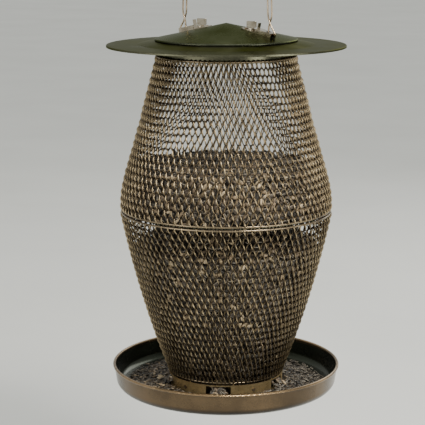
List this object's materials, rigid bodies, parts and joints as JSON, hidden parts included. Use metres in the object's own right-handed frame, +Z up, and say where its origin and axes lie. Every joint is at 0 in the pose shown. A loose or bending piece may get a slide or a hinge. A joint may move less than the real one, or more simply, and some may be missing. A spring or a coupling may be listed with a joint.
{
  "type": "hanging bird feeder",
  "caption": "Hanging seed feeder: a folding double cone of woven wire mesh between a wide round metal roof with a lift-off lid and a round seed tray, on a wire hanger.",
  "frame": {"origin": "the underside of the hanger's top bend, where it bears on the hook", "axes": "+Z up; +X along the line through the two hanger clips; -Y towards the viewer of the hanger's broad side"},
  "size_m": [0.235, 0.235, 0.5361],
  "materials": {
    "bronze_sheet": "satin dark bronze",
    "copper_tray": "satin copper brown",
    "brass_collar": "satin antique brass",
    "mesh_wire": "satin bronze on steel wire",
    "hoop_wire": "satin bronze on steel wire",
    "nickel": "bright nickel plate",
    "rivet": "satin bronze",
    "hanger_wire": "bright steel wire",
    "seed": "dry black seed hulls"
  },
  "bodies": {
    "hanger": {"hanger_bail": "hanger_wire"},
    "lid": {"lid_cap": "bronze_sheet", "hanger_clip_right": "nickel", "hanger_clip_left": "nickel", "clip_rivets": "rivet", "thumb_screw_washers": "nickel"},
    "thumb_screw_right": {"thumb_screw_right": "nickel"},
    "thumb_screw_left": {"thumb_screw_left": "nickel"},
    "roof": {"roof_brim": "bronze_sheet", "roof_collar": "bronze_sheet", "roof_rivets": "rivet", "bridge_bar": "nickel", "bridge_rivets": "rivet", "bridge_nuts": "nickel", "top_hoop": "hoop_wire", "upper_mesh": "mesh_wire"},
    "mid_ring": {"mid_hoop_upper": "hoop_wire", "mid_hoop_lower": "hoop_wire", "mid_plate": "bronze_sheet", "seed_fill_upper": "seed"},
    "base": {"bottom_hoop": "hoop_wire", "lower_mesh": "mesh_wire", "port_collar": "brass_collar", "foot_ring": "brass_collar", "collar_rivets": "rivet", "tray": "copper_tray", "tray_rivets": "rivet", "seed_fill_lower": "seed", "tray_seed": "seed"}
  },
  "joints": [
    {"name": "hanger_swing", "type": "hinge", "parent": "hanger", "child": "lid", "pos_m": [0, 0, -0.17875], "axis": [1, 0, 0], "range_deg": [-30, 30]},
    {"name": "roof_release", "type": "slide", "parent": "lid", "child": "roof", "axis": [0, 0, -1], "range_m": [0, 0.1]},
    {"name": "thumb_screw_right_turn", "type": "hinge", "parent": "lid", "child": "thumb_screw_right", "pos_m": [0.031, 0, -0.18], "axis": [0, 0, 1], "continuous": true},
    {"name": "thumb_screw_left_turn", "type": "hinge", "parent": "lid", "child": "thumb_screw_left", "pos_m": [-0.031, 0, -0.18], "axis": [0, 0, 1], "continuous": true},
    {"name": "base_fold", "type": "slide", "parent": "roof", "child": "base", "axis": [0, 0, 1], "range_m": [0, 0.23], "deforming": ["lower_mesh", "seed_fill_lower"]},
    {"name": "mid_ring_fold", "type": "slide", "parent": "roof", "child": "mid_ring", "axis": [0, 0, 1], "range_m": [0, 0.115], "deforming": ["upper_mesh", "seed_fill_upper"]}
  ],
  "couplings": [
    {"joint": "mid_ring_fold", "follows": "base_fold", "ratio": 0.5}
  ]
}
